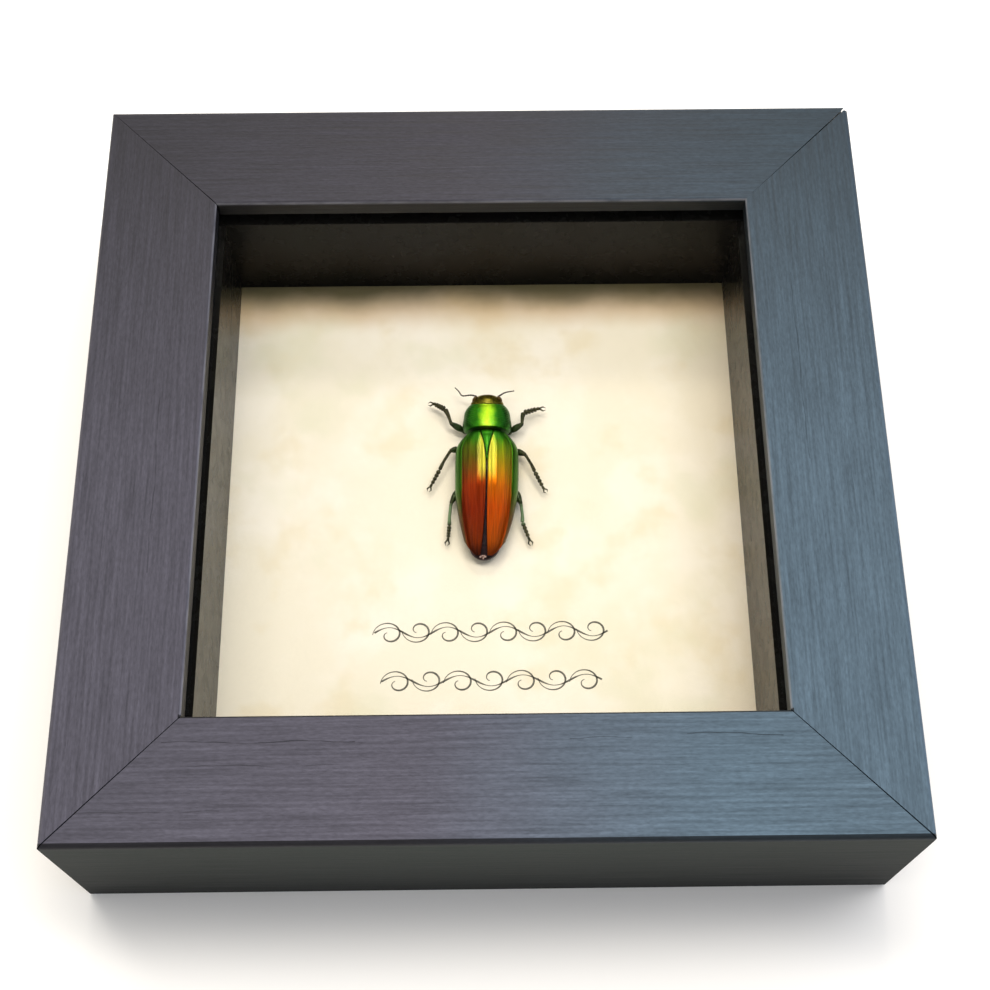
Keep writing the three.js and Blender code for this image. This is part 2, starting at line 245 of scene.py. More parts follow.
paint = {
    # The change from violet grey to slate blue is a painted reflection of a bluish light from the
    # right
    "left": "#3d3c45",       # violet grey of the left and top rails
    "right": "#404f5b",      # slate blue towards the right rail, a painted reflection of bluish light
    "lean": -0.12,           # how the change from one to the other leans along the frame
    "drift": 24.0,           # how far it strays, and over which stretch it goes
    "change": (0.0, 62.0),
    "side": ["#060908", "#1a201c"],  # painted shade on the outside, darker from the table to the edge
    "sideStart": (0.8, 0.5),  # how far below the top that tone is full, and starts
    "sideBand": 1.2,         # and how far in from the outer face it reaches
    "sideGloss": 0.25,       # how much rougher it is there
    "nearSheenFarShade": (1.78, 0.6),   # painted sheen and shade: how light the near rail and how dark the far one is
    "corner": (1.06, 0.83),  # painted sheen and shade: how light the middle of a rail is, and its corners
    "nearArrisShade": (0.62, 0.72, 0.85),  # width, depth and painted shade of the near rail's arris
    "lipShade": 0.8,           # and painted shade on the upright inside of the lips
    "rubbedHighlight": "#8e8d93",     # an inner edge where the paint is rubbed back, also a painted highlight
    "rubbedHighlightBand": (0.06, 0.3, 0.55),  # where that starts and ends, and its amount
    "lineWidth": 0.16,
}
# The grain's noises: length and width of their marks, and how much detail they have
grainMarks = {
    "streak": (16, 0.5, 2.5),
    "pore": (1.6, 0.17, 1.0),
    "speck": (0.9, 0.28, 2.0),  # left by the brush
    "wander": (14, 9, 4.0),     # how the cracks and raised lines stray
    "gap": (5, 3, 2.0),         # where they and the rubbed edge are broken
    "cloud": (33, 33, 2.0),
}
# Hairline cracks, and raised lines of the grain: the place across the rail, where along it the
# line starts and ends, and how much darker or lighter it is
paintLines = {
    "across": [
        (-48.6, -47, -19, -0.55), (-52.0, -44, -22, -0.4), (-48.5, 12, 21, -0.4),
        (-48.0, 29, 43, -0.55), (61.2, -22, 58, 0.25), (56.3, -16, 52, 0.3),
        (51.4, -27, 50, 0.3), (-58.5, -60, -38, -0.35),
    ],
    "upright": [(-51.2, -8, 22, -0.35), (-58.0, 12, 40, 0.2), (50.6, -30, 4, -0.4),
                (57.3, -12, 30, 0.2)],
}


# Pine with a thin matt paint, brushed along each rail and rubbed back at the edges. The grain's
# streaks and open pores show through it, with a few hairline cracks along it. Its colour also
# holds
# painted light: a bluish painted reflection towards the right, a lighter near rail and darker far
# one, lighter rail middles, painted shade on the outside, the near arrises and the inside of the
# lips, and a painted highlight along the rubbed inner edges.
def makeRailPaint(name, turned, lines):
    material, add, shader, place = startMaterial(name, Roughness=0.5, Specular_IOR_Level=0.27)
    run = add("Mapping", {"Vector": place, "Rotation": (0, 0, math.pi / 2 if turned else 0)})
    axes = add("SeparateXYZ", [place]).outputs
    runAxes = add("SeparateXYZ", [run]).outputs
    grain = {}
    for part, (length, width, detail) in grainMarks.items():
        drawnOut = add("Mapping", {"Vector": run, "Scale": (1 / length, 1 / width, 1 / width)})
        grain[part] = add("TexNoise", {"Vector": drawnOut, "Scale": 1.0, "Detail": detail})

    # Cracks and raised lines wander a little and are broken here and there
    wander = add("Math", [grain["wander"], 2.0, -1.0], operation="MULTIPLY_ADD")
    across = add("Math", [runAxes["Y"], wander], operation="ADD")
    marks = 0.0
    for where, start, end, tone in lines:
        near = add("Math", [across, where, paint["lineWidth"] / 2], operation="COMPARE")
        within = add("Math", [runAxes["X"], (start + end) / 2, (end - start) / 2],
                     operation="COMPARE")
        both = add("Math", [near, within], operation="MULTIPLY")
        marks = add("Math", [both, tone, marks], operation="MULTIPLY_ADD")
    whole = add("MapRange", [grain["gap"], 0.3, 0.55, 0.0, 1.0])
    marks = add("Math", [marks, whole], operation="MULTIPLY")

    # Painted reflection: the paint turns bluer towards the right, as if lit by a bluish light
    lean = add("Math", [axes["Y"], paint["lean"], axes["X"]], operation="MULTIPLY_ADD")
    lean = add("Math", [grain["cloud"], paint["drift"], lean], operation="MULTIPLY_ADD")
    bluishReflection = add("MapRange", [lean, *paint["change"], 0.0, 1.0], **eased)
    tone = add("Mix", {
        0: bluishReflection, 6: colour(paint["left"]), 7: colour(paint["right"]),
    }, data_type="RGBA")
    depth, half, sight = frameSize["depth"], frameSize["half"], frameSize["sight"]
    fromMiddle = [add("Math", [axes[axis]], operation="ABSOLUTE") for axis in "XY"]
    outward = add("Math", fromMiddle, operation="MAXIMUM")
    inward = add("Math", fromMiddle, operation="MINIMUM")
    # Painted shade: the outside of the frame darkens towards the table
    full, start = paint["sideStart"]
    below = add("MapRange", [axes["Z"], depth - full, depth - start, 1.0, 0.0])
    outside = add("Math", [outward, half - paint["sideBand"]], operation="GREATER_THAN")
    outside = add("Math", [below, outside], operation="MULTIPLY")
    sideShade = add("ValToRGB", [
        add("MapRange", [axes["Z"], 0.0, depth, 0.0, 1.0]),
    ], [(0.0, paint["side"][0]), (0.9, paint["side"][1])])
    tone = add("Mix", {0: outside, 6: tone, 7: sideShade}, data_type="RGBA")

    # Painted shade: the arrises of the near rail are darker, and so is the inside of the lips
    nearLip = add("Math", [
        add("Math", [axes["Y"], -sight, 0.3], operation="COMPARE"),
        add("Math", [outward, sight + 0.4], operation="LESS_THAN"),
    ], operation="MULTIPLY")
    width, drop, dimming = paint["nearArrisShade"]
    nearEdge = add("Math", [axes["Y"], -half, width], operation="COMPARE")
    nearEdge = add("Math", [nearLip, nearEdge], operation="MAXIMUM")
    edgeTop = add("Math", [axes["Z"], depth, drop], operation="COMPARE")
    lip = add("Math", [outward, sight, 0.05], operation="COMPARE")
    for factor in (edgeTop, dimming):
        nearEdge = add("Math", [nearEdge, factor], operation="MULTIPLY")
    for factor in (below, paint["lipShade"]):
        lip = add("Math", [lip, factor], operation="MULTIPLY")
    paintedShade = add("Math", [nearEdge, lip], operation="MAXIMUM")
    shade = add("Math", [1.0, paintedShade], operation="SUBTRACT")
    # Painted sheen and shade: the near rail lighter, the far one darker, and each rail lighter in
    # its middle than at its corners
    for factor in (add("MapRange", [axes["Y"], -half, half, *paint["nearSheenFarShade"]]),
                   add("MapRange", [inward, 0.0, half, *paint["corner"]]),
                   add("MapRange", [grain["streak"], 0.25, 0.75, 0.72, 1.28]),
                   add("MapRange", [grain["speck"], 0.3, 0.7, 0.86, 1.14]),
                   add("MapRange", [grain["pore"], 0.62, 0.7, 1.0, 0.85]),
                   add("Math", [marks, 1.0], operation="ADD")):
        shade = add("Math", [shade, factor], operation="MULTIPLY")
    painted = add("VectorMath", {0: tone, "Scale": shade}, operation="SCALE")

    # The rubbed inner edge is lightened: wear, and a painted highlight
    start, end, amount = paint["rubbedHighlightBand"]
    rubbedHighlight = add("MapRange", [outward, sight + start, sight + end, amount, 0.0])
    for factor in (add("Math", [axes["Z"], depth - 0.42], operation="GREATER_THAN"),
                   add("Math", [axes["Y"], 0.2 - sight], operation="GREATER_THAN"),
                   add("MapRange", [grain["gap"], 0.3, 0.6, 0.35, 1.0])):
        rubbedHighlight = add("Math", [rubbedHighlight, factor], operation="MULTIPLY")
    wornAndLit = add("Mix", {0: rubbedHighlight, 6: painted, 7: colour(paint["rubbedHighlight"])}, data_type="RGBA")
    gloss = add("MapRange", [grain["streak"], 0.3, 0.7, 0.44, 0.56])
    gloss = add("Math", [outside, paint["sideGloss"], gloss], operation="MULTIPLY_ADD")
    relief = add("Math", [grain["pore"], -0.6, grain["streak"]], operation="MULTIPLY_ADD")
    relief = add("Math", [grain["speck"], 0.5, relief], operation="MULTIPLY_ADD")
    relief = add("Math", [relief, marks], operation="ADD")
    finishShader(shader, wornAndLit, gloss, relief, 0.6, 0.04)
    return material


dress(makeRailPaint("brushedPaintAcross", False, paintLines["across"]), "rail_bottom", "rail_top")
dress(makeRailPaint("brushedPaintUpright", True, paintLines["upright"]), "rail_left",
      "rail_right")
print("frame: rails painted")

# What lies in the rabbet

paper = {
    "cream": "#f8edda",
    "pale": "#fdf3e5",
    "sand": "#efdebd",
    "moss": "#eae4c9",
    "edge": "#dab07c",     # aged tone towards the right and top edges, partly painted shade
    "dark": "#57532f",     # painted shadow of the top rail, in a strip along the top edge
    "fibre": 0.35,         # size of a fibre's fleck
    "ragged": {"X": 8.0, "Y": 5.0},  # how far the aged and shaded edges stray
}
# The paper's tones, one over the other: its name, the size of its clouds, which clouds they are,
# the axis it gathers along, where its share starts and is full, and how strong it is
paperLayers = [
    ("pale", 14, 0, None, 0.42, 0.68, 1.0),
    ("sand", 11.2, 61, None, 0.52, 0.72, 0.55),
    ("moss", 18.2, 133, None, 0.52, 0.7, 0.5),
    ("edge", 14, 207, "X", 36.0, 52.0, 0.22),
    # Along the top edge, the aged tone is also painted shade, and the dark strip is a painted
    # shadow of the top rail
    ("edge", 14, 281, "Y", 35.5, 42.5, 0.62),
    ("dark", 14, 281, "Y", 40.0, 46.0, 0.88),
]


# Printed parchment: uncoated paper with soft clouds of cream, sand and a little green, aged
# towards two of its edges, with painted shade there and a painted shadow along the top edge. It is
# dull, with a fine tooth.
def makeParchment():
    material, add, shader, place = startMaterial("printedParchment", Roughness=0.88)
    axes = add("SeparateXYZ", [place]).outputs
    tone = colour(paper["cream"])
    for layer, size, seed, axis, low, high, amount in paperLayers:
        moved = add("Mapping", {"Vector": place, "Location": (seed, seed * 0.7, 0)})
        share = add("TexNoise", {
            "Vector": moved, "Scale": 1 / size, "Detail": 3.0, "Roughness": 0.55,
        })
        if axis:
            share = add("Math", [share, paper["ragged"][axis], axes[axis]],
                        operation="MULTIPLY_ADD")
        share = add("MapRange", [share, low, high, 0.0, amount], **eased)
        tone = add("Mix", {0: share, 6: tone, 7: colour(paper[layer])}, data_type="RGBA")
    flecks = add("TexNoise", {"Vector": place, "Scale": 1 / paper["fibre"], "Detail": 2.0})
    tone = shadeTone(add, tone, flecks, (0.3, 0.7, 0.975, 1.02))
    finishShader(shader, tone, None, flecks, 0.3)
    return material


# Clear float glass, cut thin: see-through, with the mirror of its front face by angle.
def makeFloatGlass():
    material, add, shader, _ = startMaterial("floatGlass")
    tree = material.node_tree
    tree.nodes.remove(shader)
    clear = add("BsdfTransparent", {"Color": (0.985, 0.995, 0.99, 1)})
    gloss = add("BsdfAnisotropic", {"Roughness": 0.03})
    facing = add("NewGeometry").outputs["Backfacing"]
    front = add("Math", [1.0, facing], operation="SUBTRACT")
    share = add("Fresnel", {"IOR": 1.52})
    share = add("Math", [share, front], operation="MULTIPLY")
    both = add("MixShader", [share, clear, gloss])
    tree.links.new(outputOf(both), tree.nodes["Material Output"].inputs["Surface"])
    return material


# Black card faced with a satin film, as on ready-made spacers: nearly black from the front, and
# a soft mirror of the paper along the walls.
def makeSatinCard():
    material, add, shader, place = startMaterial("satinBlackCard", IOR=1.3,
                                                 Specular_IOR_Level=0.24)
    ripple = add("TexNoise", {"Vector": place, "Scale": 0.4, "Detail": 3.0})
    tone = add("ValToRGB", [ripple], [(0.3, "#0b0a09"), (0.7, "#100f0d")])
    gloss = add("MapRange", [ripple, 0.3, 0.7, 0.23, 0.3])
    tooth = add("TexNoise", {"Vector": place, "Scale": 3.0, "Detail": 2.0})
    finishShader(shader, tone, gloss, tooth, 0.15, 0.02)
    return material


# Foam-cored board between two sheets of white paper.
def makeFoamBoard():
    material, add, shader, place = startMaterial("foamBoard", Roughness=0.9)
    cells = add("TexVoronoi", {"Vector": place, "Scale": 2.5})
    tone = add("ValToRGB", [cells], [(0.0, "#f1eee6"), (1.0, "#e2ded2")])
    finishShader(shader, tone)
    return material


# Hardboard: brown wood fibre pressed flat, smooth and slightly waxy, with darker flecks.
def makeHardboard():
    material, add, shader, place = startMaterial("pressedHardboard", Roughness=0.62)
    fibre = add("TexNoise", {
        "Vector": place, "Scale": 1.4, "Detail": 6.0, "Roughness": 0.7, "Distortion": 0.8,
    })
    cloud = add("TexNoise", {"Vector": place, "Scale": 0.05, "Detail": 2.0})
    tone = add("ValToRGB", [fibre], [
        (0.28, "#3a2719"), (0.45, "#5f4330"), (0.62, "#6f5039"), (0.75, "#8a6a4c"),
    ])
    tone = shadeTone(add, tone, cloud, (0.3, 0.7, 0.85, 1.1))
    finishShader(shader, tone, None, fibre, 0.4, 0.05)
    return material


# Stamped steel with bright zinc plating: grey, with faint crystals and an uneven gloss.
def makeZincSteel():
    material, add, shader, place = startMaterial("zincPlatedSteel", Metallic=1.0)
    spangle = add("TexVoronoi", {"Vector": place, "Scale": 0.7}).outputs["Color"]
    tone = add("ValToRGB", [spangle], [(0.0, "#b4b6b8"), (1.0, "#cfd1d2")])
    rolled = add("TexNoise", {"Vector": place, "Scale": 2.0, "Detail": 3.0})
    finishShader(shader, tone, add("MapRange", [rolled, 0.3, 0.7, 0.3, 0.48]))
    return material


zincSteel = makeZincSteel()
sides = ("bottom", "right", "top", "left")
dress(makeParchment(), "parchment_sheet")
dress(makeFloatGlass(), "glass_pane")
dress(makeSatinCard(), *[f"spacer_{side}" for side in sides])
dress(makeFoamBoard(), "mount_board")
dress(makeHardboard(), "back_panel")
dress(zincSteel, "hanger", *[f"point_{side}_{end}" for side in sides for end in "ab"])
print("frame: glass, spacers, paper and back dressed")

# Beetle: widths and heights along its body, as (place, value) from the tail to the head

caseShape = {
    "halfWidth": along([
        (-10.75, 2.0), (-9.2, 2.98), (-7.6, 3.52), (-5.3, 4.2), (-2.6, 4.82), (0.65, 5.3),
        (4.4, 5.42), (8.2, 5.4), (9.2, 5.25), (10.0, 4.93), (10.6, 4.55), (11.2, 4.05),
        (11.9, 3.4),
    ]),
    "crest": along([
        (-10.75, 2.7), (-9.2, 3.7), (-7.6, 4.4), (-5.3, 5.15), (-2.6, 5.75), (0.65, 6.1),
        (2.0, 6.08), (3.5, 5.93), (8.5, 5.32), (10.1, 5.12), (11.9, 4.95),
    ]),
    "margin": along([(-10.75, 1.75), (-5.3, 2.3), (0.65, 2.6), (8.2, 2.6), (11.8, 2.7)]),
    "innerEdge": along([
        (-10.75, 0.58), (-9.8, 0.5), (-8.4, 0.4), (-5.2, 0.2), (-1.7, 0.12), (4.3, 0.08),
        (6.0, 0.1), (7.5, 0.24), (9.0, 0.46), (10.4, 0.78), (11.9, 1.2),
    ]),
    "thickness": 0.3,
    "ribs": [(0.1, 0.045, 0.06), (0.31, 0.05, 0.06), (0.56, 0.055, 0.045)],
    "groove": (0.785, 0.018, 0.12),  # share of the half width, its width and its depth
    "suture": (0.07, 0.12),          # width and depth of the edge beside the suture
    "base": (11.9, 1.0),             # place of the front edge, and how far it falls back
    "tip": (-10.5, 2.6),             # place of the tip, and how far it runs forward
    "grid": (72, 180),               # faces across and along
}
bodyRear, bodyFront = -12.0, 12.0    # the stretch that the plates' lengthwise pattern covers
bodySpan = bodyFront - bodyRear


def bentX(x, y):
    return x - beetlePlace["bend"] * max(0.0, 5 - y) ** 2


def domeHeight(share, y):
    margin = caseShape["margin"](y)
    return margin + (caseShape["crest"](y) - margin) * max(1 - share ** 2.3, 0.0) ** (1 / 2.1)


def caseRelief(share, y):
    fade = smooth(-10.6, -8.0, y) * (smooth(11.3, 9.0, y) if y > 0 else 1)
    relief = sum(height * bump(share, place, width) for place, width, height in caseShape["ribs"])
    place, width, depth = caseShape["groove"]
    relief = relief * fade - depth * bump(share, place, width) * smooth(-3.5, 1.5, y)
    fromSuture = (share - caseShape["innerEdge"](y) / caseShape["halfWidth"](y))
    width, depth = caseShape["suture"]
    relief -= depth * bump(fromSuture * caseShape["halfWidth"](y), 0, width)
    return relief - 0.15 * smooth(11.2, 11.9, y) ** 2


# A thin sheet laid out as a grid, whose pattern map holds the share of the half width and the
# place along the body.
def layPlate(grid, placeAt):
    bm = bmesh.new()
    pattern = bm.loops.layers.uv.new("plate")
    bmesh.ops.create_grid(bm, x_segments=grid[0], y_segments=grid[1], size=0.5)
    laid = {}
    for vertex in bm.verts:
        vertex.co, share = placeAt(vertex.co.x + 0.5, vertex.co.y + 0.5)
        laid[vertex] = (share, (vertex.co.y - bodyRear) / bodySpan)
    for face in bm.faces:
        for loop in face.loops:
            loop[pattern].uv = laid[loop.vert]
    turnUp(bm)
    return bm


def thicken(piece, thickness):
    wall = piece.modifiers.new("wall", "SOLIDIFY")
    wall.thickness = thickness * mm
    wall.offset = -1


def makeWingCase(name, hand, material):
    def placeAt(across, lengthwise):
        base = caseShape["base"][0] - caseShape["base"][1] * across ** 4
        tip = caseShape["tip"][0] + caseShape["tip"][1] * math.sin(across * math.pi / 2) ** 5
        y = mix(tip, base, lengthwise)
        half = caseShape["halfWidth"](y)
        share = mix(caseShape["innerEdge"](y) / half, 1, math.sin(across * math.pi / 2))
        z = domeHeight(share, y) + caseRelief(share, y)
        return Vector((bentX(hand * share * half, y), y, z)), share

    bm = layPlate(caseShape["grid"], placeAt)
    piece = finishPiece(bm, name + "_shell", material, [name], closed=False)
    thicken(piece, caseShape["thickness"])


chitin = {
    # Where each colour lies along the wing cases: the left one's, and the right one's, whose
    # lighter, more golden tones are painted light
    "left": [
        (-10.6, "#4c1c0a"), (-8.5, "#8c3206"), (-3.0, "#982a02"), (1.0, "#a63604"),
        (4.0, "#86480a"), (6.5, "#605806"), (8.5, "#586808"), (10.3, "#387a0a"),
        (11.5, "#2c7410"),
    ],
    "right": [
        (-10.6, "#6e2e0a"), (-8.5, "#cc5806"), (-3.0, "#f05c02"), (1.0, "#e87404"),
        (4.0, "#c08a06"), (6.5, "#98900a"), (8.5, "#7c8e0a"), (10.3, "#40860c"),
        (11.5, "#2e7c10"),
    ],
    "gold": "#ccc43a",          # beside the suture, in front
    "goldShare": (0.12, 0.34),  # where it fades out across the wing case
    "goldStart": (1.5, 4.5),    # and where it comes in along the body
    "margin": "#346e04",        # green band along the outer edge
    "marginRear": "#5a3a04",
    "marginEdge": (0.9, 0.78),  # its inner edge, at the rear and in front
    "puncture": 0.13,           # spacing of the fine pits
    "striation": (0.14, 5.0),   # width and length of the fine lengthwise lines
    "lacquer": {"Coat_Weight": 0.09, "Coat_Roughness": 0.12},
}


# Layered chitin, as a jewel beetle's wing case: thin clear layers that mirror one colour each, so
# it looks like lacquered metal, from green at the base to orange and red-brown.
def makeCaseShell():
    material, add, shader, place = startMaterial("wingCaseChitin", True, Metallic=0.92,
                                                 Roughness=0.36, **chitin["lacquer"])
    parts = add("SeparateXYZ", [add("UVMap", uv_map="plate")]).outputs
    share, lengthwise = parts["X"], parts["Y"]
    axes = add("SeparateXYZ", [place]).outputs
    width, length = chitin["striation"]
    noises = []
    for size in ((1 / width, 1 / length, 1 / length), (0.9, 0.25, 0.25)):  # lines, soft bands
        drawnOut = add("Mapping", {"Vector": place, "Scale": size})
        noises.append(add("TexNoise", {"Vector": drawnOut, "Scale": 1.0, "Detail": 2.0}))
    lines, broad = noises

    wander = add("Math", [broad, 0.12, lengthwise], operation="MULTIPLY_ADD")
    wander = add("Math", [wander, 0.06], operation="SUBTRACT")
    tones = [add("ValToRGB", [wander], [
        ((y - bodyRear) / bodySpan, shade) for y, shade in chitin[hand]
    ]) for hand in ("left", "right")]
    # The right wing case gets lighter, more golden tones: painted light
    rightLitShare = add("MapRange", [axes["X"], -0.4, 0.1, 0.0, 1.0])
    tone = add("Mix", {0: rightLitShare, 6: tones[0], 7: tones[1]}, data_type="RGBA")

    gold = add("MapRange", [share, *chitin["goldShare"], 1.0, 0.0], **eased)
    inFront = add("MapRange", [
        wander, *[(y - bodyRear) / bodySpan for y in chitin["goldStart"]], 0.0, 0.85,
    ])
    gold = add("Math", [gold, inFront], operation="MULTIPLY")
    tone = add("Mix", {0: gold, 6: tone, 7: colour(chitin["gold"])}, data_type="RGBA")
    limit = add("MapRange", [
        lengthwise, *[(y - bodyRear) / bodySpan for y in (-7, 1)], *chitin["marginEdge"],
    ])
    past = add("Math", [share, limit], operation="SUBTRACT")
    past = add("MapRange", [past, -0.03, 0.03, 0.0, 1.0], **eased)
    rim = add("Mix", {
        0: add("MapRange", [lengthwise, 0.33, 0.55, 0.0, 1.0]),
        6: colour(chitin["marginRear"]), 7: colour(chitin["margin"]),
    }, data_type="RGBA")
    tone = add("Mix", {0: past, 6: tone, 7: rim}, data_type="RGBA")
    tone = shadeTone(add, tone, lines, (0.3, 0.7, 0.72, 1.25))
    pits = add("TexVoronoi", {"Vector": place, "Scale": 1 / chitin["puncture"]})
    relief = add("Math", [lines, 0.8, pits], operation="MULTIPLY_ADD")
    finishShader(shader, tone, None, relief, 0.35, 0.02)
    return material


caseShell = makeCaseShell()
makeWingCase("wing_case_left", -1, caseShell)
makeWingCase("wing_case_right", 1, caseShell)
print("beetle: wing cases made")

# Beetle: head, green plates and the body under them

thorax = {
    "rear": 12.25, "front": 17.85, "rearDip": 0.0, "frontDip": 0.7, "end": 0.2,
    "halfWidth": along([
        (12.25, 3.6), (12.9, 4.08), (13.7, 4.25), (14.95, 4.1), (16.2, 3.92), (17.1, 3.48),
        (17.85, 2.88),
    ]),
    "crest": along([
        (12.25, 5.34), (13.2, 5.25), (14.5, 5.08), (16.2, 4.83), (17.1, 4.68), (17.85, 4.5),
    ]),
    "margin": along([(12.25, 2.5), (17.85, 2.6)]),
    "belly": along([(12.25, 0.6), (14, 0.35), (16.5, 0.7), (17.85, 1.3)]),
    "wrinkle": (0.42, 0.09),  # spacing and height of the cross wrinkles at its sides
    "dent": (2.7, 14.4),    # a shallow hollow on each side
    "pit": 0.16,            # spacing of the fine pits
    "flat": (0.3, 0.12),    # how far the middle is flattened, at the rear and in front
}
abdomen = {
    "rear": -10.95, "front": 12.4, "rearDip": 0.0, "frontDip": 0.0, "end": 1.8,
    "halfWidth": along([
        (-10.95, 2.05), (-9.9, 2.3), (-9.2, 2.45), (-7.6, 2.8), (-5.3, 3.5),
        (-2.6, 4.1), (0.65, 4.6), (8.2, 4.7), (10.1, 4.4), (11.4, 3.7), (12.4, 3.3),
    ]),
    "crest": along([
        (-11.1, 2.3), (-10.2, 2.5), (-9.2, 3.0), (-7.6, 3.65), (-5.3, 4.4), (-2.6, 4.95),
        (4.4, 5.2), (8.2, 4.85), (10.1, 4.55), (11.4, 4.1), (12.4, 3.8),
    ]),
    "margin": along([(-11.1, 1.5), (-5.3, 2.0), (0.65, 2.3), (12.4, 2.4)]),
    "belly": along([
        (-11.1, 0.95), (-9.2, 0.75), (-5.3, 0.35), (0, 0.12), (4.5, 0.08), (9, 0.12), (12.4, 0.7),
    ]),
    "ring": 2.1,            # length of one of its segments
}
head = {
    "rear": 17.5, "front": 19.75, "rearDip": 0.7, "frontDip": 0.1, "end": 0.42,
    "halfWidth": along([(17.5, 2.9), (18.1, 2.85), (18.7, 2.42), (19.2, 1.98), (19.75, 1.35)]),
    "crest": along([(17.5, 4.35), (18.2, 4.26), (18.8, 4.12), (19.3, 3.85), (19.75, 3.4)]),
    "margin": along([(17.5, 2.7), (19.75, 2.4)]),
    "belly": along([(17.5, 1.4), (19.2, 1.3), (19.75, 1.6)]),
    "eye": {"place": (2.1, 18.6, 2.95), "radii": (0.44, 0.66, 0.85), "turn": 0.65},
}


# A closed body of rings along Y: a bar with rounded ends is spun, then set to its widths and
# heights. relief gives the height to add at a share across and a place, above or below.
def ringBody(shape, sides, rings, relief=lambda across, y, above: 0.0):
    bm = bmesh.new()
    rear, front, end = shape["rear"], shape["front"], shape["end"]
    arc = [i / 6 * math.pi / 2 for i in range(7)]
    outline = [(math.sin(a), rear + end * (1 - math.cos(a))) for a in arc]
    outline += [(1.0, mix(rear + end, front - end, i / rings)) for i in range(1, rings)]
    outline += [(math.sin(a), front - end * (1 - math.cos(a))) for a in reversed(arc)]
    for vertex in spinLine(bm, [(radius, y, 0) for radius, y in outline], (0, 1, 0), sides):
        x, y, z = vertex.co
        margin = shape["margin"](y)
        rise = shape["crest"](y) - margin if z > 0 else margin - shape["belly"](y)
        dip = mix(shape["rearDip"], shape["frontDip"], (y - rear) / (front - rear)) * max(z, 0)
        height = margin + z * (rise + relief(abs(x), y, z > 0))
        vertex.co = (bentX(x * shape["halfWidth"](y), y), y - dip, height)
    return bm


def thoraxRelief(across, y, above):
    if not above:
        return 0.0
    side = smooth(0.35, 0.7, across)
    spacing, height = thorax["wrinkle"]
    wrinkles = height * side * math.sin(math.tau * (y + 0.5 * across) / spacing)
    dentX, dentY = thorax["dent"]
    dent = 0.2 * bump(across * 4.2, dentX, 0.8) * bump(y, dentY, 0.7)
    rim = 0.06 * bump(y, thorax["front"] - 0.1, 0.15)
    flat = mix(*thorax["flat"], smooth(thorax["rear"], thorax["front"], y))
    return wrinkles - dent + rim + flat * (1 - bump(across, 0, 0.5))


def abdomenRelief(across, y, above):
    step = (y - abdomen["rear"]) / abdomen["ring"] % 1.0
    return 0.12 * (1 - step) ** 3 * smooth(12, 10, y)


# Green layered chitin with fine pits: a yellower green along the middle, a painted highlight, and
# darker at the sides, painted shade. The small plate behind the thorax is a mid green all over.
def makeGreenShell():
    material, add, shader, place = startMaterial("greenChitin", True, Metallic=0.9,
                                                 Roughness=0.32, **chitin["lacquer"])
    axes = add("SeparateXYZ", [place]).outputs
    pits = add("TexVoronoi", {"Vector": place, "Scale": 1 / thorax["pit"]})
    cloud = add("TexNoise", {"Vector": place, "Scale": 0.8, "Detail": 3.0})
    side = add("Math", [axes["X"]], operation="ABSOLUTE")
    side = add("Math", [cloud, 1.6, side], operation="MULTIPLY_ADD")
    behind = add("Math", [axes["Y"], thorax["rear"] - 0.1], operation="LESS_THAN")
    side = add("Math", [behind, 1.6, side], operation="MULTIPLY_ADD")
    # The yellower middle is a painted highlight, the darker sides painted shade
    tone = add("ValToRGB", [add("MapRange", [side, 0.5, 5.0, 0.0, 1.0])], [
        (0.0, "#a8c41c"), (0.2, "#86b216"), (0.42, "#388a10"), (0.75, "#246c0e"),
        (1.0, "#1c5010"),
    ])
    tone = shadeTone(add, tone, pits, (0.0, 0.5, 0.65, 1.1))
    finishShader(shader, tone, None, pits)
    return material


# Plain chitin under the same lacquer, with soft grain: the head, the eyes, the hind body, the legs
# and the antennae. Legs are greener near the body, and the hind shins are paler, a painted
# highlight.
def makePlainShell(name, dark, light, grain, metallic, roughness, legs=None):
    material, add, shader, place = startMaterial(name, True, Metallic=metallic,
                                                 Roughness=roughness, **chitin["lacquer"])
    pits = add("TexNoise", {"Vector": place, "Scale": 1 / grain, "Detail": 3.0})
    tone = add("ValToRGB", [pits], [(0.35, dark), (0.65, light)])
    if legs:
        axes = add("SeparateXYZ", [place]).outputs
        shin = add("Math", [axes["Y"], legs["shin"]], operation="SUBTRACT")
        outward = add("Math", [axes["X"]], operation="ABSOLUTE")
        # The paler hind shins are a painted highlight
        for value, span, shade in (
                (outward, legs["thighSpan"], legs["thighTone"]),
                (add("Math", [shin], operation="ABSOLUTE"), legs["shinSpan"],
                 legs["shinHighlight"])):
            share = add("MapRange", [value, *span, 0.8, 0.0])
            tone = add("Mix", {0: share, 6: tone, 7: colour(shade)}, data_type="RGBA")
    finishShader(shader, tone, None, pits, 0.4, 0.02)
    return material


scutellum = {
    "rear": 6.1,
    "front": 11.9,
    "seam": 0.07,           # between it and the wing cases
    "crown": 0.1,           # how far its middle stands up
    "sunk": 0.05,           # and how far its edges lie below the wing cases
    "grid": (16, 40),
}


def makeScutellum(name, material):
    size = scutellum

    def placeAt(across, lengthwise):
        y = mix(size["rear"], size["front"], lengthwise)
        x = (2 * across - 1) * (caseShape["innerEdge"](y) - size["seam"])
        share = abs(x) / caseShape["halfWidth"](y)
        crown = size["crown"] * (1 - (2 * across - 1) ** 2) - size["sunk"]
        return Vector((x, y, domeHeight(share, y) + crown + caseRelief(0.2, y))), share

    bm = layPlate(size["grid"], placeAt)
    piece = finishPiece(bm, name, material, ["scutellum"], closed=False)
    thicken(piece, caseShape["thickness"])


